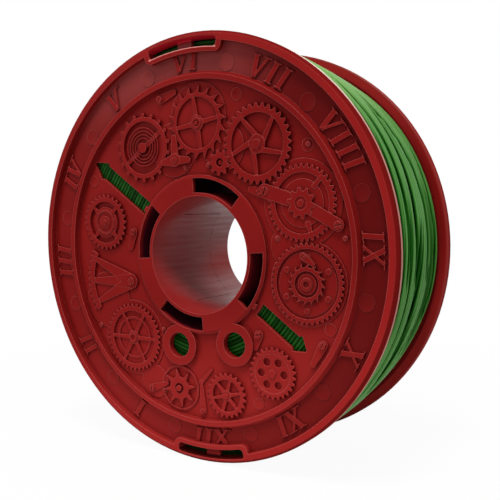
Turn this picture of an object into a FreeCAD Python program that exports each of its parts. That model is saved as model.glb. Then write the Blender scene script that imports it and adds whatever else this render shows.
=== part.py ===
# A full spool of printer filament: two moulded halves that interlock at the bore,
# and one strand wound between their flanges. The spool's axis is Y, the face in
# view looks towards -Y, and the origin is on the axis at mid-width. Angles are
# counted from +X towards +Z, as the face in view shows them.

import FreeCAD, Part
import math
import os

V = FreeCAD.Vector

# Whole spool
WIDTH = 68.0
FLANGE_R = 100.0
FLANGE_T = 5.0          # rim face to the side that the filament lies against
HALF = WIDTH / 2

# Flange face: every depth is counted from the rim face
RIM_IN_R = 96.0         # the rim lip runs from here to the edge
EDGE_BEVEL = 1.2
DIAL_DEPTH = 2.9
DIAL_IN_R = 83.3
RIB_OUT_R = 82.0        # the rib between the dial band and the field
RIB_IN_R = 79.7
RIB_DEPTH = 0.55
FIELD_DEPTH = 3.4
DRAFT = 0.2             # lean of the short moulded walls

# Hub
BOSS_R = 37.35
BOSS_DEPTH = 1.4
BOSS_BEVEL = 1.3
BEVEL_DROP = 0.6
BOSS_T = 2.0
DRUM_R = 37.4           # the filament is wound on this
DRUM_WALL = 1.5
DRUM_GAP = 0.1          # each drum wall stops this short of mid-width
BORE_R = 27.65
SLEEVE_R = 29.2

# Interlocking sleeve: a whole ring at each end, then two long tongues a half.
# The front half's tongues are the broad ones and the rear half's fill the rest.
SLEEVE_RING = 18.5      # depth of the whole ring's end
TONGUE_MID = 188.75
TONGUE_SPAN = 102.5
TONGUE_GAP = 0.15       # left at the tongues' sides and ends

# Hub windows
WINDOW_MID = 71.65
WINDOW_HALF = 22.4

# Eyelets that the winding machine's pins enter
EYELET_AT = 45.5
EYELET_ANGLES = (254.7, 296.5)
EYELET_HOLE_R = 6.1
EYELET_R = 10.1

# Arrow windows: centreline angle, start, barb, widest and tip radii, widths
ARROWS = (
    dict(angle=145.6, start=38.0, barb=69.5, wide=71.0, tip=78.6, shaft=7.0, head=9.3),
    dict(angle=324.9, start=40.5, barb=63.2, wide=64.6, tip=69.8, shaft=6.5, head=8.7),
)
ARROW_BLUNT = 0.8       # width of the cut-off tip
TAB_W = 2.6             # tab on the boss in line with each arrow
TAB_R = 38.7
TAB_DEPTH = 2.1

# Rim slots, each in a raised frame and crossed by a low bar
SLOT_MIDS = (94.1, 274.1)
SLOT_IN_R = 93.3
SLOT_OUT_R = 98.0       # at the rim face; the outer wall slopes in from there
SLOT_BACK_R = 97.0
SLOT_HALF = 11.6
SLOT_CORNER = 1.7
FRAME_R = 91.2
FRAME_HALF = 13.2
FRAME_CORNER = 3.6
BAR_HALF = 2.35

# The rear half is turned over about the line through its rim slots
TURN_OVER = 2 * SLOT_MIDS[0]

# Filament, wound higher towards the front flange
STRAND = 1.75
WOUND_R_FRONT = 98.8
WOUND_R_REAR = 94.7
WOUND_CLEAR = 0.15      # between the winding and what holds it
STRAND_SIDES = 3        # faceted, one corner outwards, as deep as the round strand
STRAND_CORNER = STRAND * 2 / 3
TURNS = 8


def polar(radius, degrees, z=0.0):
    """Point of a half's own frame, whose Z runs outwards along the axis."""
    turn = math.radians(degrees)
    return V(radius * math.cos(turn), radius * math.sin(turn), z)


def revolved(outline, start=0.0, span=360.0):
    """Solid swept round the axis by an outline of (radius, depth) corners."""
    corners = [V(r, 0, HALF - depth) for r, depth in outline]
    face = Part.Face(Part.makePolygon(corners + corners[:1]))
    face.rotate(V(0, 0, 0), V(0, 0, 1), start)
    return face.revolve(V(0, 0, 0), V(0, 0, 1), span)


def sector(r_in, r_out, mid, half_angle, top, bottom):
    """Block bent round the axis, from one depth down to another."""
    outline = [(r_in, top), (r_out, top), (r_out, bottom), (r_in, bottom)]
    return revolved(outline, mid - half_angle, 2 * half_angle)


def through_edges(solid, within=FLANGE_R):
    """Edges that run from the top to the bottom, those inside a radius."""
    found = []
    for edge in solid.Edges:
        first, last = edge.Vertexes[0].Point, edge.Vertexes[-1].Point
        if abs(first.z - last.z) > 1 and math.hypot(first.x, first.y) < within:
            found.append(edge)
    return found


def flange_and_hub():
    """The turned form of one half: flange, boss, drum wall and sleeve ring."""
    under = BOSS_DEPTH + BOSS_T
    drum_end = HALF - DRUM_GAP
    hub = [
        (DRUM_R - DRUM_WALL, drum_end),
        (DRUM_R - DRUM_WALL, under),
        (SLEEVE_R, under),
        (SLEEVE_R, SLEEVE_RING),
        (BORE_R, SLEEVE_RING),
        (BORE_R, BOSS_DEPTH),
        (BOSS_R - BOSS_BEVEL, BOSS_DEPTH),
        (BOSS_R, BOSS_DEPTH + BEVEL_DROP),
        (BOSS_R, FIELD_DEPTH),
    ]
    face = [
        (RIB_IN_R - DRAFT, FIELD_DEPTH),
        (RIB_IN_R, RIB_DEPTH),
        (RIB_OUT_R, RIB_DEPTH),
        (DIAL_IN_R, DIAL_DEPTH),
        (RIM_IN_R - DRAFT, DIAL_DEPTH),
        (RIM_IN_R, 0),
    ]
    edge = [
        (FLANGE_R - EDGE_BEVEL, 0),
        (FLANGE_R, EDGE_BEVEL),
        (FLANGE_R, FLANGE_T),
        (DRUM_R, FLANGE_T),
        (DRUM_R, drum_end),
    ]
    return revolved(hub + face + edge)


def tongues(middle, span):
    """Two tongues that reach past mid-width into the other half."""
    half_angle = span / 2 - math.degrees(TONGUE_GAP / SLEEVE_R)
    reach = WIDTH - SLEEVE_RING - TONGUE_GAP
    return [sector(BORE_R, SLEEVE_R, mid, half_angle, SLEEVE_RING - 1, reach)
            for mid in (middle, middle + 180)]


def hub_windows():
    """Four windows between the sleeve and the drum wall."""
    made = []
    for quarter in range(4):
        made.append(sector(SLEEVE_R, DRUM_R - DRUM_WALL, WINDOW_MID + 90 * quarter,
                           WINDOW_HALF, BOSS_DEPTH - 1, BOSS_DEPTH + BOSS_T + 1))
    return made


def arrow_outline(angle, start, barb, wide, tip, shaft, head):
    """Flat arrow that points outwards along the given angle."""
    side = [(start, shaft / 2), (barb, shaft / 2), (wide, head / 2), (tip, ARROW_BLUNT / 2)]
    corners = side + [(along, -across) for along, across in reversed(side)]
    points = [V(along, across, HALF - FLANGE_T - 1) for along, across in corners]
    face = Part.Face(Part.makePolygon(points + points[:1]))
    face.rotate(V(0, 0, 0), V(0, 0, 1), angle)
    return face


def arrow_windows():
    """The two arrows, cut right through the field."""
    return [arrow_outline(**arrow).extrude(V(0, 0, FLANGE_T + 1)) for arrow in ARROWS]


def arrow_tabs():
    """Small tab on the boss's side at the foot of each arrow."""
    made = []
    for arrow in ARROWS:
        tab = Part.makeBox(TAB_R - BOSS_R + 1, TAB_W, FIELD_DEPTH - TAB_DEPTH + 1,
                           V(BOSS_R - 1, -TAB_W / 2, HALF - FIELD_DEPTH - 1))
        tab.rotate(V(0, 0, 0), V(0, 0, 1), arrow["angle"])
        made.append(tab)
    return made


def eyelets(radius, top):
    """Upright discs on the two eyelets' centres, from a depth to the back face."""
    made = []
    for angle in EYELET_ANGLES:
        base = polar(EYELET_AT, angle, HALF - FLANGE_T)
        made.append(Part.makeCylinder(radius, FLANGE_T - top, base))
    return made


def slot_frames():
    """Raised frame of each rim slot, merged with the rim lip."""
    made = []
    for mid in SLOT_MIDS:
        block = sector(FRAME_R, RIM_IN_R + 1, mid, FRAME_HALF, 0, FLANGE_T)
        corners = through_edges(block, FRAME_R + 1)
        made.append(block.makeFillet(FRAME_CORNER, corners))
    return made


def slot_cuts():
    """Each rim slot, cut through but for the low bar across its middle."""
    slope = (SLOT_OUT_R - SLOT_BACK_R) / FLANGE_T
    outline = [(SLOT_IN_R, -1), (SLOT_OUT_R + slope, -1),
               (SLOT_BACK_R - slope, FLANGE_T + 1), (SLOT_IN_R, FLANGE_T + 1)]
    made = []
    for mid in SLOT_MIDS:
        slot = revolved(outline, mid - SLOT_HALF, 2 * SLOT_HALF)
        slot = slot.makeFillet(SLOT_CORNER, through_edges(slot))
        bar = sector(SLOT_IN_R - 1, SLOT_OUT_R + 1, mid, BAR_HALF, DIAL_DEPTH, FLANGE_T + 2)
        made.append(slot.cut(bar))
    return made


def moulded_half(tongue_mid, tongue_span):
    """One half in its own frame, its decorated face at the top."""
    added = tongues(tongue_mid, tongue_span) + eyelets(EYELET_R, BOSS_DEPTH) + slot_frames()
    half = flange_and_hub().fuse(added)
    half = half.cut(arrow_windows())
    half = half.fuse(arrow_tabs())
    half = half.cut(hub_windows() + slot_cuts() + eyelets(EYELET_HOLE_R, 0))
    half = half.removeSplitter().Solids[0]
    half.rotate(V(0, 0, 0), V(1, 0, 0), 90)
    return half


def front_half():
    return moulded_half(TONGUE_MID, TONGUE_SPAN)


def rear_half():
    """The same flange turned over; its tongues fill the gaps between the other's."""
    rear = moulded_half(TURN_OVER - TONGUE_MID - 90, 180 - TONGUE_SPAN)
    turn = math.radians(TURN_OVER / 2)
    rear.rotate(V(0, 0, 0), V(math.cos(turn), 0, math.sin(turn)), 180)
    return rear


def wound_room():
    """How far from mid-width the winding reaches."""
    return HALF - FLANGE_T - WOUND_CLEAR


def wound_radius(y):
    """Outer radius of the winding across its width."""
    share = (y / wound_room() + 1) / 2
    return WOUND_R_FRONT + (WOUND_R_REAR - WOUND_R_FRONT) * share


def core_radius(y):
    return wound_radius(y) - STRAND - WOUND_CLEAR


def filament_core():
    """The wound filament below its outer layer."""
    r_in = DRUM_R + WOUND_CLEAR
    room = wound_room()
    corners = [V(r_in, -room, 0), V(core_radius(-room), -room, 0),
               V(core_radius(room), room, 0), V(r_in, room, 0)]
    face = Part.Face(Part.makePolygon(corners + corners[:1]))
    return face.revolve(V(0, 0, 0), V(0, 1, 0), 360)


def tangent_arc(start, corner, end):
    """Arc that touches both sides of a corner at their far ends."""
    chord_mid = (start + end) * 0.5
    half_chord = (end - start).Length / 2
    rise = (corner - chord_mid).Length
    sagitta = half_chord * math.tan(math.atan2(rise, half_chord) / 2)
    return Part.Arc(start, chord_mid + (corner - chord_mid) * (sagitta / rise), end)


def biarc(start, start_way, end, end_way):
    """Two arcs that leave one point and reach another in the given directions."""
    across = end - start
    ways = start_way + end_way
    a = 4 - ways.dot(ways)
    b = across.dot(ways)
    reach = (math.sqrt(b * b + a * across.dot(across)) - b) / a
    first = start + start_way * reach
    second = end - end_way * reach
    middle = (first + second) * 0.5
    return [tangent_arc(start, first, middle), tangent_arc(middle, second, end)]


def winding_lean():
    """The strand's facets lean over by this much, each way from upright, as it climbs."""
    return wound_room() / core_radius(0)


def winding_path():
    """Centreline of the outer layer: half turns round the axis, straight ends."""
    depth = STRAND_CORNER * math.cos(math.pi / STRAND_SIDES - winding_lean())
    room = 2 * (wound_room() - STRAND_CORNER)
    half_turns = 2 * TURNS
    step = room / half_turns
    places = [index * step - room / 2 for index in range(half_turns + 1)]
    radii = [core_radius(y) + WOUND_CLEAR + depth for y in places]
    narrowing = radii[1] - radii[0]
    knots = []
    for index, (y, radius) in enumerate(zip(places, radii)):
        sign = 1 if index % 2 == 0 else -1
        way = V(sign * narrowing, step, sign * math.pi * radius).normalize()
        knots.append((V(sign * radius, y, 0), way))
    arcs = []
    for (start, start_way), (end, end_way) in zip(knots, knots[1:]):
        arcs += biarc(start, start_way, end, end_way)
    first, first_way = knots[0]
    last, last_way = knots[-1]
    lead_in = Part.LineSegment(first - first_way * STRAND, first)
    lead_out = Part.LineSegment(last, last + last_way * STRAND)
    return [lead_in] + arcs + [lead_out]


def least_gap(path):
    """Least clear distance from turn to turn of the strand, on points of its line."""
    steps = 12
    by_angle = {}
    for curve in path[1:-1]:
        span = curve.LastParameter - curve.FirstParameter
        for step in range(steps):
            point = curve.value(curve.FirstParameter + span * step / steps)
            place = round(math.degrees(math.atan2(point.z, point.x)) * steps / 90)
            by_angle.setdefault(place % (4 * steps), []).append(point.y)
    least = WIDTH
    for places in by_angle.values():
        places.sort()
        for near, far in zip(places, places[1:]):
            least = min(least, far - near)
    return least - 2 * STRAND_CORNER


def filament_outer_layer():
    """The outer layer: one unbroken strand."""
    path = winding_path()
    spine = Part.Wire([curve.toShape() for curve in path])
    start = path[0].StartPoint
    way = (path[0].EndPoint - start).normalize()
    out = V(1, 0, 0)
    side = way.cross(out)
    corners = []
    for corner in range(STRAND_SIDES):
        turn = 2 * math.pi * corner / STRAND_SIDES - winding_lean()
        offset = out * math.cos(turn) + side * math.sin(turn)
        corners.append(start + offset * STRAND_CORNER)
    section = Part.makePolygon(corners + corners[:1])
    print("outer layer: least gap between turns %.2f mm" % least_gap(path))
    return spine.makePipeShell([section], True, False)


def main():
    os.makedirs("parts", exist_ok=True)
    nodes = {
        "front_half": front_half(),
        "rear_half": rear_half(),
        "filament_core": filament_core(),
        "filament_outer_layer": filament_outer_layer(),
    }
    for name, shape in nodes.items():
        shape.exportStep("parts/" + name + ".step")
        print(name, shape.ShapeType, shape.isValid(), "%.1f cm3" % (shape.Volume / 1000))


main()
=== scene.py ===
import math
import random

import bmesh
import bpy
from mathutils import Matrix, Vector


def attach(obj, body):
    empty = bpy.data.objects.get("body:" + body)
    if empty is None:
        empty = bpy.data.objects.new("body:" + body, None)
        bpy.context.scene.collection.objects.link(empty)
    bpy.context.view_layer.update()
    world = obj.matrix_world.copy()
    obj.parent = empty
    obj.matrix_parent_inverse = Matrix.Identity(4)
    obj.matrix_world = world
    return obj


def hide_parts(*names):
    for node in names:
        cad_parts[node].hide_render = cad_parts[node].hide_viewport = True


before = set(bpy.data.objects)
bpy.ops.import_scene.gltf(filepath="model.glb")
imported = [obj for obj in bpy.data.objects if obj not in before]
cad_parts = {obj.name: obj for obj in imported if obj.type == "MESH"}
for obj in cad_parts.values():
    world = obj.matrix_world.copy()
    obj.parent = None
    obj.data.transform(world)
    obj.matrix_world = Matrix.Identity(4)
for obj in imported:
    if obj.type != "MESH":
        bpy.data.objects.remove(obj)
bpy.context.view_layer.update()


# The two halves of the spool: injection-moulded high-impact polystyrene in a deep
# red, pushed together at the bore. The faces are satin, the edges are slightly
# rounded, and the bore is glossy where the mould's core pin was drawn out.

MM = 0.001
WIDTH = 68.0
FLANGE_T = 5.0


class Signal:
    """One output in a finish's nodes; arithmetic on it adds Math nodes."""

    def __init__(self, finish, socket):
        self.finish = finish
        self.socket = socket

    def combine(self, operation, first, second):
        return self.finish.add("Math", {"operation": operation}, {0: first, 1: second})

    def __add__(self, other):
        return self.combine("ADD", self, other)

    def __radd__(self, other):
        return self.combine("ADD", other, self)

    def __sub__(self, other):
        return self.combine("SUBTRACT", self, other)

    def __rsub__(self, other):
        return self.combine("SUBTRACT", other, self)

    def __mul__(self, other):
        return self.combine("MULTIPLY", self, other)

    def __rmul__(self, other):
        return self.combine("MULTIPLY", other, self)

    def __pow__(self, other):
        return self.combine("POWER", self, other)


class Finish:
    """The nodes of a material, or of the world."""

    def __init__(self, owner):
        self.owner = owner
        owner.use_nodes = True
        self.tree = owner.node_tree
        self.tree.nodes.clear()

    def add(self, kind, settings=None, inputs=None, output=0):
        """Adds a node: its settings first, then the values or links of its sockets."""
        node = self.tree.nodes.new("ShaderNode" + kind)
        for key, value in (settings or {}).items():
            if key != "stops":
                setattr(node, key, value)
                continue
            stops = node.color_ramp.elements
            while len(stops) < len(value):
                stops.new(1.0)
            for stop, (place, colour) in zip(stops, value):
                stop.position = place
                stop.color = colour
        for key, value in (inputs or {}).items():
            if isinstance(value, Signal):
                self.tree.links.new(value.socket, node.inputs[key])
            else:
                node.inputs[key].default_value = value
        return Signal(self, node.outputs[output] if node.outputs else None)

    def part(self, vector, axis):
        return self.add("SeparateXYZ", inputs={"Vector": vector}, output=axis)

    def step(self, value, start, end):
        """0 before start, 1 after end, smooth between them."""
        return self.add("MapRange", {"interpolation_type": "SMOOTHSTEP"},
                        {"Value": value, "From Min": start, "From Max": end})

    def past(self, length, start, end):
        """0 before start, 1 after end, both in millimetres."""
        return self.step(length, start * MM, end * MM)

    def between(self, length, start, full, fading, end):
        """1 from full to fading, 0 before start and after end, in millimetres."""
        return self.past(length, start, full) * self.past(length, end, fading)

    def blend(self, share, first, second):
        return self.add("Mix", {"data_type": "RGBA"}, {0: share, 6: first, 7: second}, output=2)

    def close(self, shader, kind="OutputMaterial"):
        self.add(kind, inputs={"Surface": shader})
        return self.owner


def red_plastic():
    red = Finish(bpy.data.materials.new("red_moulded_plastic"))
    place = red.add("TexCoord", output=3)
    across, along, up = (red.part(place, axis) for axis in range(3))
    radius = (across * across + up * up) ** 0.5
    side = red.add("Math", {"operation": "ABSOLUTE"}, {0: along})

    cloud = red.add("TexNoise", inputs={"Vector": place, "Scale": 26.0, "Detail": 3.0})
    grain = red.add("TexNoise", inputs={"Vector": place, "Scale": 1400.0, "Detail": 2.0})
    colour = red.add("ValToRGB", {"stops": (
        (0.32, (0.175, 0.0062, 0.0055, 1)), (0.70, (0.215, 0.0080, 0.0071, 1)))}, {"Fac": cloud})

    # painted light makes the face paler low down, on the lip and high on the flanges' inner sides,
    # and painted shade makes it darker towards the right
    low = red.past(up - across * 0.22, -12, -78)
    field = red.between(radius, 38, 41, 80, 82)
    colour = red.blend(low * (0.7 - field * 0.17), colour, (0.385, 0.0250, 0.0225, 1))
    lip = red.past(radius, 95.7, 96.2) * red.past(side, 32.5, 33.5)
    colour = red.blend(lip * (across * 3.5 + 0.42), colour, (0.31, 0.0130, 0.0120, 1))
    inner_side = red.past(side, 29.5, 29.1) * red.past(radius, 90, 94) * red.past(up, 35, 75)
    colour = red.blend(inner_side * 0.55, colour, (0.40, 0.0240, 0.0230, 1))
    right = red.past(across, -20, 60) * red.past(side, 29, 30)
    colour = red.blend(right * (0.2 - low * 0.2), colour, (0.090, 0.0032, 0.0030, 1))

    # painted shade darkens corners and recesses by ambient occlusion, and a painted highlight
    # lightens proud edges
    open_sky = red.add("AmbientOcclusion", {"samples": 5}, {"Distance": 3.5 * MM}, output=1)
    corner = (1 - open_sky) * (0.8 - low * 0.4 - inner_side * 0.5)
    colour = red.blend(corner, colour, (0.040, 0.0012, 0.0012, 1))
    rounded = red.add("Bevel", {"samples": 6}, {"Radius": 0.55 * MM})
    unrounded = red.add("NewGeometry", output=1)
    likeness = red.add("VectorMath", {"operation": "DOT_PRODUCT"},
                       {0: rounded, 1: unrounded}, output=1)
    edge_highlight = red.step(likeness, 0.97, 0.80) * red.step(open_sky, 0.55, 0.85)
    colour = red.blend(edge_highlight * 0.8, colour, (0.52, 0.115, 0.105, 1))

    # the rim slots' outer walls: painted light on the upper one, where light falls in over the rim,
    # and painted shade on the lower one
    wall = red.between(radius, 96.5, 96.8, 98.0, 98.3) * red.between(side, 29.1, 29.4, 33.4, 33.8)
    colour = red.blend(wall * red.past(up, 80, 88) * 0.85, colour, (0.46, 0.0100, 0.0220, 1))
    colour = red.blend(wall * red.past(up, -80, -88) * 0.85, colour, (0.03, 0.0020, 0.0020, 1))

    # the rim's outer edge is painted darker on the front half and lighter on the rear half, as
    # painted shade and painted light, with a thin painted glint next to the winding, whitest at the
    # top
    front = red.past(along, -28, -29)
    band = red.past(radius, 98.5, 99.3)
    rim_edge_shading = red.blend(front, (0.270, 0.0140, 0.0130, 1), (0.150, 0.0052, 0.0046, 1))
    colour = red.blend(band * 0.9, colour, rim_edge_shading)
    crest = red.past(up, 45, 85)
    edge_line = red.past(radius, 99.2, 99.7) * red.past(side - crest * (0.7 * MM), 31.0, 30.4)
    edge_glint = red.blend(crest, (0.72, 0.34, 0.28, 1), (1.0, 0.86, 0.76, 1))
    colour = red.blend(edge_line * (front * 0.75 + 0.05), colour, edge_glint)

    # painted shade darkens the dial's floor, most on the right, and a painted greyish sheen lies on
    # it at the top;
    # towards the foot its numerals and pin marks take the floor's painted shade
    high = red.past(up, -60, 0)
    numeral = red.past(side, 31.4, 31.8) * (high * 0.75 + 0.25)
    dial = red.between(radius, 83.0, 83.4, 95.7, 96.0) * (1 - numeral) * red.past(side, 32.6, 32.2)
    top = red.past(up, 50, 85) * red.past(across, 55, 5)
    pin_mark = red.past(side, 31.14, 31.18) * (high * 0.20 + 0.05)
    dial_shade = (across * 3.76 + up * 1.37 + 0.58 - top * 0.5) * (1 - pin_mark)
    colour = red.blend(dial * dial_shade, colour, (0.095, 0.0035, 0.0035, 1))
    colour = red.blend(dial * top * 0.5, colour, (0.225, 0.0480, 0.0450, 1))

    # a painted highlight along the lower edge of the upper slot's frame
    frame_line = red.between(radius, 92.8, 93.1, 93.5, 93.8) * red.past(side, 33.4, 33.7)
    frame_line = frame_line * red.past(up, 86, 89) * red.between(across, -26.2, -25.2, 11.7, 12.7)
    colour = red.blend(frame_line * 0.8, colour, (0.75, 0.27, 0.24, 1))

    # painted shade: no light reaches down into the hub's windows
    hub = red.between(radius, 29.0, 29.3, 36.0, 37.0) * red.past(side, 31.5, 29.0)
    colour = red.blend(hub * 0.92, colour, (0.045, 0.0030, 0.0120, 1))

    # drag marks along the bore, which is glossier low down and at the far end; painted light makes
    # it paler, most towards the far end, with a painted pale reflection in the drag marks low down
    stretched = red.add("Mapping", inputs={"Vector": place, "Scale": (1.0, 0.05, 1.0)})
    streak = red.add("TexNoise", inputs={"Vector": stretched, "Scale": 620.0, "Detail": 3.0})
    in_bore = red.past(radius, 28.1, 27.8)
    colour = red.blend(in_bore * 0.6, colour, (0.30, 0.016, 0.015, 1))
    far_end_light = in_bore * red.past(along - up * 0.8, 4, 30) * red.past(up, 8, -10)
    colour = red.blend(far_end_light * 0.8, colour, (0.62, 0.0480, 0.0450, 1))
    foot = red.past(up, -8, -20) * red.past(along, -10, 15)
    colour = red.blend(in_bore * foot * streak * 0.9, colour, (0.66, 0.150, 0.140, 1))
    drawn = in_bore * (streak * 0.60 + 0.08) * (1 - far_end_light * 0.6 + foot * 0.9)

    normal = red.add("Bump", inputs={"Strength": 0.2, "Distance": 0.03 * MM,
                                     "Height": grain, "Normal": rounded})
    return red.close(red.add("BsdfPrincipled", inputs={
        "Base Color": colour,
        "Roughness": cloud * 0.10 + 0.38 + hub * 0.5 + band * 0.5,
        "Specular IOR Level": 0.03,
        "Coat Weight": drawn * (red.past(along, -12, 32) * 1.4 + 0.70),
        "Coat Roughness": 0.2,
        "Normal": normal}))


spool_red = red_plastic()
for half in ("front_half", "rear_half"):
    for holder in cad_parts[half].material_slots:
        holder.material = spool_red


# The filament: 1.75 mm round plastic strand, one unbroken length. The layers below
# the outer one are a wound body whose ends show every layer's edge through the
# arrow windows; the outer layer lies over them in soft ridges and deep hollows.

STRAND = 1.75
DRUM_R = 37.55
WOUND_HALF = WIDTH / 2 - FLANGE_T
WOUND_ROOM = WOUND_HALF - 0.15
WOUND_R = 97.45
LAYER = 1.86
UNDER_LAYER = 1.1 * STRAND
BELOW_HOLLOWS = 3
TURNS = 32

# hollows between the outer strands: half their width, then the places they run
# through, each with its angle in degrees, its place across the width and its depth
HOLLOWS = [
    (1.9, ((44, -26.6, 0), (36, -26.2, 2.2), (28, -25.4, 2.7), (20, -25.0, 2.8), (0, -25.2, 2.6),
           (-10, -25.4, 2.2), (-16, -25.4, 1.4), (-22, -25.4, 0))),
    (1.8, ((55, -18.2, 0), (48, -17.4, 2.4), (40, -16.4, 3.0), (30, -16.1, 3.1), (20, -16.1, 3.1),
           (10, -17.1, 3.0), (2, -18.1, 2.3), (-3, -18.7, 1.2), (-9, -19.2, 0))),
    (1.4, ((19, -12.4, 0), (12, -12.8, 0.7), (5, -13.9, 1.6), (0, -14.7, 2.1), (-10, -15.5, 2.5),
           (-20, -16.4, 2.6), (-28, -17.4, 2.6), (-35, -18.9, 2.4), (-40, -20.8, 2.3),
           (-44, -22.3, 1.6), (-50, -23.6, 0))),
    (1.9, ((45, -3.2, 0), (40, -3.3, 1.2), (36, -3.5, 2.4), (30, -4.1, 3.1), (25, -4.6, 3.2),
           (15, -5.9, 3.2), (8, -6.8, 3.0), (3, -7.5, 2.2), (-2, -8.2, 1.2), (-8, -8.8, 0))),
    (2.9, ((12, 0.4, 0), (5, -1.2, 1.1), (0, -2.2, 2.2), (-8, -3.5, 3.4), (-15, -3.9, 3.9),
           (-22, -4.4, 4.1), (-30, -5.3, 3.9), (-35, -4.9, 2.6), (-41, -4.6, 0))),
    (1.9, ((51, -0.2, 0), (45, 0.9, 1.4), (41, 3.0, 2.3), (37, 5.2, 2.9), (31, 7.6, 3.1),
           (25, 9.3, 3.2), (15, 10.5, 3.2), (8, 9.9, 3.1), (3, 9.4, 2.5), (-2, 9.1, 1.4),
           (-8, 8.8, 0))),
    (1.8, ((33, 22.8, 0), (28, 22.8, 1.2), (22, 22.6, 2.0), (12, 22.8, 2.4), (0, 23.4, 2.6),
           (-8, 23.0, 2.5), (-14, 21.6, 1.9), (-21, 20.0, 0))),
    (1.3, ((1, 13.0, 0), (-5, 12.3, 1.3), (-10, 11.8, 1.9), (-15, 10.5, 2.1), (-20, 8.0, 2.2),
           (-24, 4.9, 1.7), (-31, 3.0, 0))),
    (1.2, ((48, 17.5, 0), (38, 18.6, 1.2), (29, 18.8, 0))),
    (5.0, ((28, 16.5, 0), (15, 16.8, 0.6), (0, 17.0, 0.9), (-12, 16.5, 1.0), (-22, 14.0, 0.9),
           (-34, 11.0, 0))),
    (2.4, ((296, -28.0, 0), (288, -28.0, 0.9), (260, -28.0, 0.9), (252, -28.0, 0))),
    (6.0, ((40, 31, 0), (20, 31, 0.4), (0, 31, 0.4), (-10, 31, 0.5), (-20, 30, 1.2), (-40, 27, 2.2),
           (-60, 28, 1.8), (-80, 30, 0))),
]


def wound_radius(y, degrees=230):
    """Outer radius of the winding, fullest by the front flange and at the upper right,
    and slack by the rear flange at the lower right and by both at the top."""
    share = y / WOUND_HALF
    fuller = 0.45 * (1 + math.cos(math.radians(degrees - 50)))
    slack = 2.2 * max(0, math.cos(math.radians(degrees + 70))) ** 4 * max(0, share)
    slack += 0.8 * max(0, math.cos(math.radians(degrees - 85))) ** 4 * (share + 1)
    return WOUND_R - 1.95 * share - 0.65 * share * share + fuller - slack


def pick(*pieces):
    """Selects these pieces and nothing else, the first of them active."""
    if bpy.context.object and bpy.context.object.mode != "OBJECT":
        bpy.ops.object.mode_set(mode="OBJECT")
    bpy.ops.object.select_all(action="DESELECT")
    for piece in pieces:
        piece.select_set(True)
    if pieces:
        bpy.context.view_layer.objects.active = pieces[0]


def finish_piece(piece, name, material):
    """Names a piece, applies its place, and gives it its finish and its body."""
    piece.name = name
    piece.data.name = name
    pick(piece)
    bpy.ops.object.transform_apply(location=True, rotation=True, scale=True)
    piece.data.materials.clear()
    piece.data.materials.append(material)
    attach(piece, "root")


def tube(name, points, thickness, sides):
    """Round tube along points, made from a curve and then turned into a mesh."""
    line = bpy.data.curves.new(name, "CURVE")
    line.dimensions = "3D"
    line.bevel_depth = thickness / 2
    line.bevel_resolution = sides // 2 - 2
    line.use_fill_caps = True
    spline = line.splines.new("POLY")
    spline.points.add(len(points) - 1)
    for knot, point in zip(spline.points, points):
        knot.co = (*point, 1)
    piece = bpy.data.objects.new(name, line)
    bpy.context.collection.objects.link(piece)
    pick(piece)
    bpy.ops.object.convert(target="MESH")
    bpy.ops.object.shade_smooth()
    return bpy.context.object


def ridge(centre, ahead, half, steps):
    """Half circle of a strand that stands out of the wound body."""
    side = Vector((-ahead.y, ahead.x))
    for step in range(steps + 1):
        turn = math.pi * step / steps
        yield centre + half * (math.sin(turn) * ahead - math.cos(turn) * side)


# the wound body's outline: from the drum out over the front end, back along the
# width below the outer layer, and in over the rear end
outline = []
for end in (-1, 1):
    top = wound_radius(end * WOUND_HALF) - UNDER_LAYER
    rows = round((top - DRUM_R) / LAYER)
    edge = []
    for row in range(rows):
        middle = DRUM_R + (top - DRUM_R) * (row + 0.5) / rows
        centre = Vector((middle, end * (WOUND_ROOM - STRAND / 2)))
        edge += ridge(centre, Vector((0, end)), STRAND / 2, 5)
    inset = end * (WOUND_ROOM - STRAND)
    edge += [Vector((top, inset)), Vector((top - BELOW_HOLLOWS, inset))]
    outline += edge if end < 0 else edge[::-1]

mesh = bpy.data.meshes.new("wound_body")
corners = len(outline)
mesh.from_pydata([(radius * MM, y * MM, 0) for radius, y in outline],
                 [(corner, (corner + 1) % corners) for corner in range(corners)], [])
wound_body = bpy.data.objects.new("wound_body", mesh)
bpy.context.collection.objects.link(wound_body)
pick(wound_body)
bpy.ops.object.mode_set(mode="EDIT")
bpy.ops.mesh.select_all(action="SELECT")
bpy.ops.mesh.spin(steps=144, angle=2 * math.pi, center=(0, 0, 0), axis=(0, 1, 0))
bpy.ops.mesh.select_all(action="SELECT")
bpy.ops.mesh.remove_doubles(threshold=0.01 * MM)
bpy.ops.mesh.normals_make_consistent(inside=False)
bpy.ops.object.mode_set(mode="OBJECT")
bpy.ops.object.shade_smooth_by_angle(angle=math.radians(50))

# more hollows on the side away from view
random.seed(7)
for sector in range(9):
    for lane in range(5):
        high = 95 + sector * 22 + random.uniform(22, 40)
        low = 95 + sector * 22 - random.uniform(22, 40)
        place = -20 + 10 * lane + random.uniform(-2.5, 2.5)
        sideways = random.uniform(-4, 1)
        depth = random.uniform(2.0, 2.9)
        HOLLOWS.append((random.uniform(1.0, 1.7), (
            (high, place, 0), (high - 20, place + sideways * 0.3, depth),
            (low + 20, place + sideways * 0.8, depth), (low, place + sideways, 0))))


def eased(share):
    """0 to 1 as share goes from 0 to 1, slow at both ends."""
    return share * share * (3 - 2 * share)


def hollow_depth(y, degrees):
    """How far the outer layer sinks there below its mean surface."""
    deepest = 0
    for half, places in HOLLOWS:
        for (start, y1, depth1), (end, y2, depth2) in zip(places, places[1:]):
            past = (start - degrees) % 360
            if past > start - end:
                continue
            share = past / (start - end)
            across = (y - y1 - (y2 - y1) * share) / half
            depth = depth1 + (depth2 - depth1) * eased(share)
            deepest = max(deepest, depth * math.exp(-across * across))
    return deepest


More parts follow.
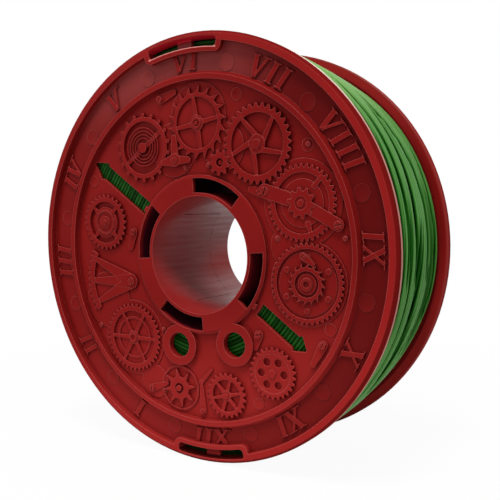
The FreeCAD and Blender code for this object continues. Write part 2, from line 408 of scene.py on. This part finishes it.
def swell(past, rise, hold, fall):
    """0 to 1 over the first degrees up to rise, then 1 until hold, and 0 from fall on."""
    if past < rise:
        return (1 - math.cos(math.pi * past / rise)) / 2
    return (1 + math.cos(math.pi * (min(max(past, hold), fall) - hold) / (fall - hold))) / 2


def drift(y, degrees):
    """How far the strands bend across, as one, on their way down the right side:
    all of them to the front below 30 degrees, and those right of the middle first
    fan out to the rear below 60 degrees."""
    forward = swell((30 - degrees) % 360, 80, 80, 200)
    fan = swell((60 - degrees) % 360, 40, 70, 150)
    fan *= max(0, math.sin(math.pi * (min(max(y, -6), 26) + 6) / 32))
    return 4.0 * fan - 7.5 * forward


# the outer layer, one strand from flange to flange: it steps to its next place in
# a short stretch of each turn, wavers a little, and tucks both its ends under
STEPS = 120
STEP_SHARE = 0.3
LEAD_IN = 96
LEAD_OUT = 14
TUCK_STEPS = 12
TUCK = 1.2 * STRAND
WAVER = 0.35
pitch = (2 * WOUND_ROOM - STRAND - 0.1) / TURNS
last = TURNS * STEPS + LEAD_OUT
points = []
for step in range(-LEAD_IN, last + 1):
    index = min(max(step // STEPS, 0), TURNS - 1)
    share = min(max((step / STEPS - index) / STEP_SHARE, 0), 1)
    y = pitch * (index + eased(share) - TURNS / 2)
    degrees = (step * 360 / STEPS - 40) % 360
    to_end = min(step + LEAD_IN, last - step)
    tuck = TUCK * max(0, 1 - to_end / TUCK_STEPS)
    waver = WAVER * math.sin(math.radians(2 * degrees) + WAVER * y)
    y += (1 - (y / WOUND_ROOM) ** 2) * (drift(y, degrees) + waver)
    radius = wound_radius(y, degrees) - STRAND / 2 - tuck - hollow_depth(y, degrees)
    angle = math.radians(degrees)
    points.append(Vector((radius * math.cos(angle), y, radius * math.sin(angle))) * MM)
outer_layer = tube("outer_layer", points, STRAND * MM, 8)

# how deep each part of the strand lies, for its finish
depths = []
for vert in outer_layer.data.vertices:
    x, y, z = vert.co / MM
    depths.append(wound_radius(y, math.degrees(math.atan2(z, x))) - math.hypot(x, z))
outer_layer.data.attributes.new("depth", "FLOAT", "POINT").data.foreach_set("value", depths)


def green_plastic(name, dark, light, sheen, gaps):
    """The filament's finish: sheen is its gloss, gaps how dark the painted shade in the lines
    between layers is.
    """
    green = Finish(bpy.data.materials.new(name))
    place = green.add("TexCoord", output=3)
    across, along, up = (green.part(place, axis) for axis in range(3))
    radius = (across * across + up * up) ** 0.5
    cloud = green.add("TexNoise", inputs={"Vector": place, "Scale": 45.0, "Detail": 2.0})
    grain = green.add("TexNoise", inputs={"Vector": place, "Scale": 1800.0, "Detail": 2.0})
    colour = green.add("ValToRGB", {"stops": ((0.30, dark), (0.70, light))}, {"Fac": cloud})
    # painted light: the winding is lighter and yellower towards its top
    colour = green.blend(green.past(up, 50, 92) * 0.65, colour, (0.215, 0.430, 0.090, 1))

    # painted shade in the lines between the layers and in the hollows between the outer strands
    layers = green.add("TexNoise", {"noise_dimensions": "1D"},
                       {"W": radius, "Scale": 330.0, "Detail": 1.0})
    colour = green.blend(green.step(layers, 0.56, 0.40) * gaps, colour, (0.002, 0.016, 0.001, 1))
    depth = green.add("Attribute", {"attribute_name": "depth"}, output=2)
    hollow = green.step(depth, 0.2, 1.1)
    colour = green.blend(hollow * 0.93, colour, (0.001, 0.056, 0.0005, 1))

    # painted shade: little light reaches the ends behind the rim slots
    side = green.add("Math", {"operation": "ABSOLUTE"}, {0: along})
    ends = green.past(side, 25.5, 26.8)
    colour = green.blend(ends * green.past(up, -89, -94) * 0.95, colour, (0.002, 0.004, 0.001, 1))
    colour = green.blend(ends * green.past(up, 89, 94) * 0.8, colour, (0.002, 0.030, 0.001, 1))
    # painted shade in creases and recesses, by ambient occlusion
    open_sky = green.add("AmbientOcclusion", {"samples": 5}, {"Distance": 3.0 * MM}, output=1)
    colour = green.blend((1 - open_sky) * 0.9, colour, (0.0006, 0.034, 0.0002, 1))

    proud = 1 - green.step(depth, 0.05, 0.7)
    normal = green.add("Bump", inputs={"Strength": 0.15, "Distance": 0.02 * MM, "Height": grain})
    return green.close(green.add("BsdfPrincipled", inputs={
        "Base Color": colour,
        "Roughness": cloud * 0.12 + 0.45,
        "Specular IOR Level": 0.02,
        "Coat Weight": proud * (green.past(up, -60, 40) * 0.6 + 0.4) * sheen,
        "Coat Roughness": 0.32,
        "Normal": normal}))


outer_green = green_plastic("green_filament", (0.070, 0.235, 0.042, 1),
                            (0.095, 0.290, 0.056, 1), 0.45, 0.1)
# the wound body is the same filament, painted darker as shade
shaded_inner_green = green_plastic("shaded_green_filament", (0.013, 0.080, 0.009, 1),
                            (0.022, 0.105, 0.016, 1), 0.05, 0.75)
finish_piece(wound_body, "wound_filament", shaded_inner_green)
finish_piece(outer_layer, "wound_outer_layer", outer_green)
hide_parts("filament_core")
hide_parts("filament_outer_layer")


# The dial: Roman hour numerals that stand a little proud of the sunken band round
# each face, tops outwards. They are part of the moulding, cut into the mould as
# broad and hair strokes with thin serifs.

FIELD = WIDTH / 2 - 3.4
DIAL_FLOOR = WIDTH / 2 - 2.9
NUMERALS = ("IX", "VIII", "VII", "VI", "V", "IV", "III", "II", "I", "XII", "XI", "X")
LETTER_WIDTH = {"I": 6.1, "V": 9.5, "X": 9.5}
LETTER_LEAN = 3.0
STROKE = 2.3
HAIR_STROKE = 1.2
SERIF_HALF = 2.1
SERIF = 0.6
SLANT = 0.083
PROUD = 0.95
ROOT = 0.2
NUMERAL_IN = 83.9
NUMERAL_MID = 89.0
NUMERAL_H = 9.6
SHORT_H = 7.6
SLOTS_AT = (94.1, 274.1)

# the face is built flat, x to the right and y up, with z out of the plastic; the
# rear half is the front one turned over about the line through the slots
FACE_TURN = Matrix.Rotation(math.radians(90), 4, "X")
OVER_AXIS = Vector((math.cos(math.radians(SLOTS_AT[0])), 0, math.sin(math.radians(SLOTS_AT[0]))))
TURN_OVER = Matrix.Rotation(math.pi, 4, OVER_AXIS)


def spot(degrees, radius):
    """Point of the face, anticlockwise from its right, in millimetres."""
    return Vector((math.cos(math.radians(degrees)), math.sin(math.radians(degrees)))) * radius


def bar(start, end, width, low, high):
    """Straight bar between two points of the face."""
    way = end - start
    middle = (start + end) / 2
    bpy.ops.mesh.primitive_cube_add(
        size=1, location=(middle.x * MM, middle.y * MM, (low + high) / 2 * MM),
        rotation=(0, 0, math.atan2(way.y, way.x)),
        scale=(way.length * MM, width * MM, (high - low) * MM))
    return bpy.context.object


def joined(pieces, bevel=0.12):
    """One piece of several, with its upper edges slightly rounded."""
    pick(*pieces)
    bpy.ops.object.transform_apply(location=True, rotation=True, scale=True)
    bpy.ops.object.join()
    piece = bpy.context.object
    rounding = piece.modifiers.new("rounding", "BEVEL")
    rounding.width = bevel * MM
    rounding.segments = 1
    rounding.limit_method = "ANGLE"
    rounding.angle_limit = math.radians(35)
    bpy.ops.object.modifier_apply(modifier=rounding.name)
    bpy.ops.object.shade_smooth_by_angle(angle=math.radians(30))
    return piece


def on_both_faces(piece, name):
    """Sets a piece onto the front half and its turned-over copy onto the rear half."""
    other = piece.copy()
    other.data = piece.data.copy()
    bpy.context.collection.objects.link(other)
    piece.matrix_world = FACE_TURN
    other.matrix_world = TURN_OVER @ FACE_TURN
    finish_piece(piece, name + "_front", spool_red)
    finish_piece(other, name + "_rear", spool_red)


def letter(shape, degrees, height):
    """Strokes and serifs of one letter, its foot at the dial's inner edge."""
    out = spot(degrees, 1)
    side = Vector((out.y, -out.x))
    slant = side * SLANT * height
    foot = out * NUMERAL_IN - slant
    head = out * (NUMERAL_IN + height) + slant
    lean = side * LETTER_LEAN
    strokes = {
        "I": ((foot, head, STROKE),),
        "V": ((foot, head - lean, STROKE), (foot, head + lean, HAIR_STROKE)),
        "X": ((foot + lean, head - lean, STROKE), (foot - lean, head + lean, HAIR_STROKE)),
    }[shape]
    ends = {
        "I": (foot, head),
        "V": (head - lean, head + lean),
        "X": (head - lean, head + lean, foot - lean, foot + lean),
    }[shape]
    made = []
    for index, (start, end, width) in enumerate(strokes):
        made.append(bar(start, end, width, DIAL_FLOOR - ROOT, DIAL_FLOOR + PROUD - 0.03 * index))
    for end in ends:
        at_foot = (end - foot).dot(out) < 1
        if not at_foot and height < NUMERAL_H:
            continue
        middle = end + (out * 0.25 if at_foot else out * -0.25)
        made.append(bar(middle - side * SERIF_HALF, middle + side * SERIF_HALF, SERIF,
                        DIAL_FLOOR - ROOT, DIAL_FLOOR + PROUD - 0.07))
    return made


pick()
made = []
for hour, numeral in enumerate(NUMERALS):
    middle = SLOTS_AT[0] - 90 + 30 * hour
    height = SHORT_H if hour in (3, 9) else NUMERAL_H
    width = sum(LETTER_WIDTH[shape] for shape in numeral)
    place = -width / 2
    for shape in numeral:
        place += LETTER_WIDTH[shape] / 2
        made += letter(shape, middle - math.degrees(place / NUMERAL_MID), height)
        place += LETTER_WIDTH[shape] / 2
on_both_faces(joined(made, 0.1), "dial_numerals")


# Ejector pin marks: the mould's pins pressed on the dial band and the field while
# the plastic was still soft, and each left a shallow round step.

pick()
marks = [(spot(19.1 + 30 * count, 87.2), 3.9, DIAL_FLOOR) for count in range(12)]
marks += [(spot(degrees, 75), 2.9, FIELD) for degrees in (73.5, 40.5, 337, 296, 152)]
MARK_T = 0.4
MARK_EDGE = 0.35
MARK_STEP = 0.1
made = []
for at, radius, level in marks:
    bpy.ops.mesh.primitive_cylinder_add(
        vertices=40, radius=radius * MM, depth=MARK_T * MM,
        location=(at.x * MM, at.y * MM, level * MM))
    mark = bpy.context.object
    bpy.ops.object.mode_set(mode="EDIT")
    bpy.ops.mesh.select_all(action="DESELECT")
    mesh = bmesh.from_edit_mesh(mark.data)
    for face in mesh.faces:
        face.select_set(face.normal.z > 0.9)
    bmesh.update_edit_mesh(mark.data)
    bpy.ops.mesh.inset(thickness=MARK_EDGE * MM)
    bpy.ops.transform.translate(value=(0, 0, -MARK_STEP * MM))
    bpy.ops.object.mode_set(mode="OBJECT")
    made.append(mark)
on_both_faces(joined(made, 0.03), "ejector_pin_marks")


# The clockwork: wheels, levers and springs in low relief on the field of each face.
# They are moulded in one with the flange and don't turn; the lowest plates stand
# 0.4 mm proud of the field and the screw heads 2 mm.

BASE_TOP = 0.42
PLATE_TOP = 0.85
WHEEL_TOP = 1.45
SMALL_TOP = 1.9
BURIED = 0.3
SPRING_WIRE = 0.7


def disc(at, radius, top, sides=32, low=-BURIED):
    """Round boss on the field."""
    bpy.ops.mesh.primitive_cylinder_add(
        vertices=sides, radius=radius * MM, depth=(top - low) * MM,
        location=(at.x * MM, at.y * MM, (FIELD + (top + low) / 2) * MM))
    return bpy.context.object


def link(start, start_r, end, end_r, top, sides=24):
    """Lever with two round ends, the hull of a boss at each."""
    pick()
    first = disc(start, start_r, top, sides)
    pick(first, disc(end, end_r, top, sides))
    bpy.ops.object.join()
    bpy.ops.object.mode_set(mode="EDIT")
    bpy.ops.mesh.select_all(action="SELECT")
    bpy.ops.mesh.convex_hull(join_triangles=True)
    bpy.ops.mesh.select_all(action="SELECT")
    bpy.ops.mesh.dissolve_limited(angle_limit=math.radians(1))
    bpy.ops.object.mode_set(mode="OBJECT")
    return first


def rim(at, inner, outer, top, teeth=0, tooth=0.0, turn=0.0, arc=None, pointed=False, hook=0.0):
    """Ring on the field, whole or an arc of it. Its teeth stand tooth out past outer,
    flat or pointed, and hook leans them by so many degrees."""
    pick()
    sides = 4 * teeth if teeth else 56
    centre = Vector((at.x * MM, at.y * MM, (FIELD - BURIED) * MM))
    bpy.ops.mesh.primitive_circle_add(vertices=sides, radius=inner * MM, location=centre,
                                      rotation=(0, 0, math.radians(turn)))
    bpy.ops.object.transform_apply(location=True, rotation=True, scale=True)
    ring = bpy.context.object
    bpy.ops.object.mode_set(mode="EDIT")
    bpy.ops.mesh.select_all(action="SELECT")
    bpy.ops.mesh.extrude_edges_move()
    grow = outer / inner
    bpy.ops.transform.resize(value=(grow, grow, 1), center_override=centre)
    mesh = bmesh.from_edit_mesh(ring.data)
    if teeth:
        for vert in mesh.verts:
            arm = vert.co - centre
            count = round((math.degrees(math.atan2(arm.y, arm.x)) - turn - 90) * sides / 360)
            out = arm.length > (inner + outer) / 2 * MM
            vert.select_set(out and count % 4 in ((0,) if pointed else (0, 1)))
        mesh.select_flush_mode()
        bmesh.update_edit_mesh(ring.data)
        grow = (outer + tooth) / outer
        bpy.ops.transform.resize(value=(grow, grow, 1), center_override=centre)
        if hook:
            bpy.ops.transform.rotate(value=math.radians(hook), orient_axis="Z",
                                     center_override=centre)
    if arc:
        mesh = bmesh.from_edit_mesh(ring.data)
        for face in mesh.faces:
            arm = face.calc_center_median() - centre
            past = (math.degrees(math.atan2(arm.y, arm.x)) - arc[0]) % 360
            face.select_set(past > arc[1] - arc[0])
        bmesh.update_edit_mesh(ring.data)
        bpy.ops.mesh.delete(type="FACE")
    bpy.ops.mesh.select_all(action="SELECT")
    height = (top + BURIED) * MM
    bpy.ops.mesh.extrude_region_move(TRANSFORM_OT_translate={"value": (0, 0, height)})
    bpy.ops.mesh.select_all(action="SELECT")
    bpy.ops.mesh.normals_make_consistent(inside=False)
    bpy.ops.object.mode_set(mode="OBJECT")
    return ring


def arms(at, count, inner, outer, width, top, turn=0.0, curl=0.0):
    """Spokes from a hub out to a rim, straight or curled."""
    made = []
    for number in range(count):
        angle = turn + 360 * number / count
        made.append(link(at + spot(angle, inner), width, at + spot(angle + curl, outer),
                         width * 0.7, top, 10))
    return made


def combine(piece, other, operation):
    """Cuts another piece out of this one, or adds it, and removes the other."""
    change = piece.modifiers.new("change", "BOOLEAN")
    change.operation = operation
    change.object = other
    pick(piece)
    bpy.ops.object.modifier_apply(modifier=change.name)
    bpy.data.objects.remove(other)


def holed(piece, places, radius):
    """A piece with round holes through it."""
    pick()
    cutters = [disc(place, radius, 3, 20, -1) for place in places]
    pick(*cutters)
    bpy.ops.object.join()
    combine(piece, bpy.context.object, "DIFFERENCE")
    return piece


def screw(at, radius, top, turn):
    """Slotted screw head."""
    head = disc(at, radius, top, 24)
    reach = spot(turn, radius + 1)
    slot = bar(at - reach, at + reach, radius * 0.32, FIELD + top - 0.45, FIELD + top + 0.5)
    combine(head, slot, "DIFFERENCE")
    return head


def spring(at, inner, outer, turns, turn, top):
    """Flat spiral spring that starts at the angle turn."""
    points = []
    steps = int(turns * 40)
    for step in range(steps + 1):
        share = step / steps
        point = at + spot(turn + 360 * turns * share, inner + (outer - inner) * share)
        points.append(Vector((point.x, point.y, FIELD + top - SPRING_WIRE / 2)) * MM)
    return tube("hairspring", points, SPRING_WIRE * MM, 6)


def base_plate(lobes, rivets):
    """Low plate whose outline runs round several lobes, with rivets in it."""
    plate = disc(*lobes[0], BASE_TOP, 72)
    for at, radius in lobes[1:]:
        combine(plate, disc(at, radius, BASE_TOP, 72), "UNION")
    made = [plate]
    for at in rivets:
        made += [disc(at, 1.25, BASE_TOP + 0.3, 16), disc(at, 0.7, BASE_TOP + 0.7, 12)]
    return made


made = base_plate(((spot(24, 60), 19.0), (spot(350, 59), 18.8), (spot(7, 49), 9.5)),
                  (spot(40.5, 75.5), spot(7.5, 76), spot(12, 43.5)))
on_both_faces(joined(made), "right_plate_relief")
made = base_plate(((spot(226, 60), 19.2), (spot(246, 70.5), 8.5), (spot(203, 64), 14.5)),
                  (spot(251.5, 72), spot(211, 75.5), spot(239, 43.5)))
on_both_faces(joined(made), "left_plate_relief")
made = base_plate(((spot(106, 51), 12.6), (spot(90, 63.5), 15.5), (spot(74, 51.5), 11.0)),
                  (spot(100, 41.5), spot(82, 42)))
on_both_faces(joined(made), "top_plate_relief")

# upper left: balance wheel with its timing screws and hairspring
at = spot(122.5, 60)
made = [rim(at, 12.4, 14.5, WHEEL_TOP), disc(at, 2.4, SMALL_TOP + 0.1, 24),
        spring(at, 3.2, 10.0, 4.2, 140, WHEEL_TOP - 0.1)]
made += arms(at, 2, 1.6, 13.2, 1.3, PLATE_TOP + 0.1, 35)
made += [disc(at + spot(10 + 20 * count, 15.3), 1.0, WHEEL_TOP - 0.1, 12) for count in range(18)]
on_both_faces(joined(made), "balance_relief")

# top: escape wheel with hooked teeth, and the pallet lever that reaches to the balance
at = spot(90, 60.5)
made = [rim(at, 11.6, 13.4, WHEEL_TOP, 18, 3.3, 0, None, True, 5), disc(at, 3.6, WHEEL_TOP - 0.05)]
made += arms(at, 4, 2.6, 12.2, 1.2, WHEEL_TOP - 0.1, 10)
made += [rim(at, 1.5, 2.6, SMALL_TOP, 0), disc(at, 0.9, SMALL_TOP + 0.2, 16)]
on_both_faces(joined(made), "escape_wheel_relief")

pivot = spot(106, 46)
made = [link(pivot, 3.0, spot(114.5, 47.5), 1.3, SMALL_TOP),
        link(pivot, 2.3, spot(96.5, 44.5), 1.4, SMALL_TOP - 0.05),
        link(pivot, 2.3, spot(103.5, 56), 1.4, SMALL_TOP - 0.1),
        disc(pivot, 1.4, SMALL_TOP + 0.35, 20)]
made.append(link(spot(106.5, 75.5), 2.2, spot(100, 76.2), 1.3, PLATE_TOP))
made.append(screw(spot(106.5, 75.5), 1.5, SMALL_TOP, 50))
on_both_faces(joined(made), "pallet_lever_relief")

# upper right: great wheel with five curled arms, and the pinion that it drives
at = spot(57, 59.5)
made = [rim(at, 13.4, 15.8, WHEEL_TOP + 0.1, 32, 1.7), disc(at, 4.2, WHEEL_TOP + 0.05),
        disc(at, 2.1, SMALL_TOP + 0.2, 20)]
made += arms(at, 5, 3.2, 14.0, 1.25, WHEEL_TOP, 20, 34)
on_both_faces(joined(made), "great_wheel_relief")

at = spot(73.2, 44.4)
made = [rim(at, 1.9, 4.2, SMALL_TOP, 9, 1.7, 8), disc(at, 1.2, SMALL_TOP - 0.7, 16)]
made.append(link(spot(41, 44.5), 2.4, spot(46.5, 41.8), 1.4, PLATE_TOP))
made.append(screw(spot(41, 44.5), 1.5, SMALL_TOP, 30))
on_both_faces(joined(made), "great_pinion_relief")

# right: third wheel behind a bridge with two screws
at = spot(24, 60)
made = [rim(at, 13.0, 15.2, WHEEL_TOP - 0.25, 38, 1.5), disc(at, 10.4, PLATE_TOP, 44),
        rim(at, 2.8, 5.2, SMALL_TOP, 10, 1.6, 5)]
made += arms(at, 3, 9.2, 14.0, 1.2, WHEEL_TOP - 0.35, 50)
made.append(link(spot(39, 47), 3.2, at, 2.8, WHEEL_TOP + 0.1))
made.append(link(at, 2.7, spot(12, 74), 2.7, WHEEL_TOP + 0.15))
made += [screw(spot(39, 47), 1.8, SMALL_TOP + 0.1, 70),
         screw(spot(12, 74), 1.7, SMALL_TOP + 0.1, 10), disc(at, 1.5, SMALL_TOP + 0.3, 20)]
on_both_faces(joined(made), "third_wheel_relief")

# lower right: spring barrel with its toothed rim, ratchet wheel and click
at = spot(350, 58.8)
made = [rim(at, 15.3, 16.6, WHEEL_TOP, 42, 1.3), disc(at, 14.2, PLATE_TOP - 0.2, 56),
        rim(at, 5.8, 7.4, SMALL_TOP, 16, 1.9, 0, None, True, 8), disc(at, 4.6, WHEEL_TOP - 0.1, 32),
        rim(at, 1.5, 2.8, SMALL_TOP + 0.2)]
made += [disc(at + spot(30 + 60 * count, 11.8), 1.3, WHEEL_TOP - 0.2, 16) for count in range(6)]
made.append(link(at + spot(98, 12.2), 1.7, at + spot(70, 9.2), 0.8, SMALL_TOP + 0.1))
made.append(screw(at + spot(98, 12.2), 1.5, SMALL_TOP + 0.35, 40))
on_both_faces(joined(made), "barrel_relief")

# below it: wheel with round holes, and a setting lever
at = spot(308, 66)
wheel = disc(at, 9.6, WHEEL_TOP - 0.1, 44)
wheel = holed(wheel, [at + spot(60 * count, 6.0) for count in range(6)], 1.9)
made = [wheel, rim(at, 9.2, 10.7, WHEEL_TOP, 26, 1.5), disc(at, 1.9, SMALL_TOP + 0.1, 20)]
on_both_faces(joined(made), "holed_wheel_relief")

made = [link(spot(331, 75.2), 2.3, spot(323.5, 76), 1.4, PLATE_TOP + 0.1),
        screw(spot(331, 75.2), 1.5, SMALL_TOP, 60),
        link(spot(313.5, 48), 2.3, spot(307.5, 51.5), 1.4, PLATE_TOP),
        screw(spot(313.5, 48), 1.5, SMALL_TOP, 20)]
on_both_faces(joined(made), "setting_lever_relief")

# bottom: a small wheel of the train, a flat spring, and a star wheel with its jumper
at = spot(283, 67.6)
made = [rim(at, 7.8, 9.6, WHEEL_TOP, 22, 1.5), disc(at, 2.6, WHEEL_TOP - 0.1),
        disc(at, 1.3, SMALL_TOP + 0.1, 16)]
made += arms(at, 6, 2.2, 8.4, 0.9, WHEEL_TOP - 0.15, 15)
on_both_faces(joined(made), "minute_wheel_relief")

made = [link(spot(271, 75.5), 1.9, spot(270, 60.5), 0.8, PLATE_TOP),
        link(spot(270, 61.5), 1.1, spot(276.5, 55), 0.7, PLATE_TOP - 0.05),
        screw(spot(271, 75.5), 1.3, SMALL_TOP, 120)]
on_both_faces(joined(made), "flat_spring_relief")

at = spot(259, 67)
made = [rim(at, 2.6, 5.6, WHEEL_TOP, 8, 4.2, 10, None, True), disc(at, 1.5, SMALL_TOP + 0.2, 20),
        rim(at, 10.4, 11.4, PLATE_TOP - 0.2),
        link(spot(246, 74.5), 2.2, at + spot(172, 8.4), 1.0, PLATE_TOP + 0.1),
        screw(spot(246, 74.5), 1.5, SMALL_TOP, 80)]
on_both_faces(joined(made), "star_wheel_relief")

# left: large wheel with cross arms, toothed quarter with its pivot, and a crown wheel
at = spot(226, 60)
made = [rim(at, 13.6, 15.8, WHEEL_TOP, 38, 1.6), rim(at, 9.6, 10.8, PLATE_TOP + 0.1),
        disc(at, 3.4, WHEEL_TOP - 0.06), rim(at, 1.4, 2.5, SMALL_TOP + 0.1)]
made += arms(at, 6, 2.4, 14.2, 1.1, WHEEL_TOP - 0.12, 0)
on_both_faces(joined(made), "centre_wheel_relief")

at = spot(199, 44.5)
made = [rim(at, 25.6, 28.2, WHEEL_TOP - 0.2, 60, 1.7, 0, (150, 214)),
        link(at, 3.6, at + spot(157, 26.6), 1.2, WHEEL_TOP - 0.26),
        link(at, 3.6, at + spot(182, 26.6), 1.2, WHEEL_TOP - 0.32),
        link(at, 3.6, at + spot(207, 26.6), 1.2, WHEEL_TOP - 0.38),
        screw(at, 2.0, SMALL_TOP + 0.1, 110)]
on_both_faces(joined(made), "toothed_quarter_relief")

at = spot(166, 60.5)
made = [rim(at, 10.4, 12.4, WHEEL_TOP, 28, 1.5), disc(at, 7.8, PLATE_TOP, 40),
        disc(at, 3.0, WHEEL_TOP), rim(at, 5.2, 6.2, WHEEL_TOP - 0.1),
        disc(at, 1.4, SMALL_TOP + 0.1, 16)]
made += arms(at, 4, 7.2, 11.0, 1.1, WHEEL_TOP - 0.3, 45)
made.append(link(spot(166, 41.5), 2.3, spot(176.5, 42.5), 1.6, PLATE_TOP - 0.1))
made.append(screw(spot(166, 41.5), 1.5, SMALL_TOP, 0))
on_both_faces(joined(made), "crown_wheel_relief")


# The stand: a plain pale floor under the rims, soft lamps, and the camera at the
# photograph's angle. None of it belongs to the spool.


def shown_white(finish):
    """1 for what the camera, gloss and glass see, and 0 for what lights the spool."""
    camera, gloss, glass = (finish.add("LightPath", output=ray) for ray in (0, 3, 6))
    return 1 - (1 - camera) * (1 - gloss) * (1 - glass)


pick()
bpy.ops.mesh.primitive_plane_add(size=8, location=(0, 0, -0.1))
floor = bpy.context.object
floor.name = "floor"
paper = Finish(bpy.data.materials.new("pale_paper"))
shaded = paper.add("BsdfDiffuse", inputs={"Color": (0.8, 0.8, 0.8, 1)})
white = paper.add("Emission", inputs={"Color": (1, 1, 1, 1), "Strength": 1.0})
place = paper.add("TexCoord", output=3)
reach = (paper.part(place, 0) ** 2 + paper.part(place, 1) ** 2) ** 0.5
far = paper.past(reach, 120, 450)
floor.data.materials.append(paper.close(paper.add("MixShader", inputs={
    0: shown_white(paper) * (far * 0.05 + 0.95), 1: shaded, 2: white})))

world = bpy.data.worlds.new("studio")
bpy.context.scene.world = world
studio = Finish(world)
studio.close(studio.add("Background", inputs={
    "Color": (1, 1, 1, 1), "Strength": shown_white(studio) * 0.68 + 0.32}), "OutputWorld")


def lamp(name, at, size, power):
    bpy.ops.object.light_add(type="AREA", location=at)
    light = bpy.context.object
    light.name = name
    light.data.size = size
    light.data.energy = power
    light.rotation_euler = (-Vector(at)).to_track_quat("-Z", "Y").to_euler()


lamp("top_lamp", (0.15, -0.40, 1.0), 0.35, 11)
lamp("left_lamp", (-0.75, -0.70, 0.35), 0.5, 2.4)
lamp("right_lamp", (0.55, -0.85, 0.15), 0.5, 0.5)

scene = bpy.context.scene
scene.view_settings.view_transform = "Standard"

# the photograph is 500 pixels wide, and the lens and the shifts are in its pixels; the
# eye's place to the right, up and back from the spool's middle is in metres
PICTURE = 500
LENS = 728.6
SHIFT_X = -12.3
SHIFT_Y = 71.6
EYE = (0.01323, -0.03544, 0.36945)
azimuth = math.radians(31.70)
elevation = math.radians(9.32)
back = Vector((math.sin(azimuth) * math.cos(elevation),
               -math.cos(azimuth) * math.cos(elevation), math.sin(elevation)))
right = Vector((math.cos(azimuth), math.sin(azimuth), 0))
up = back.cross(right)
camera = bpy.data.cameras.new("camera")
camera.sensor_width = 36
camera.lens = LENS * camera.sensor_width / PICTURE
camera.shift_x = SHIFT_X / PICTURE
camera.shift_y = SHIFT_Y / PICTURE
eye = bpy.data.objects.new("camera", camera)
scene.collection.objects.link(eye)
eye.location = right * EYE[0] + up * EYE[1] + back * EYE[2]
eye.rotation_euler = Matrix((right, up, back)).transposed().to_euler()
scene.camera = eye
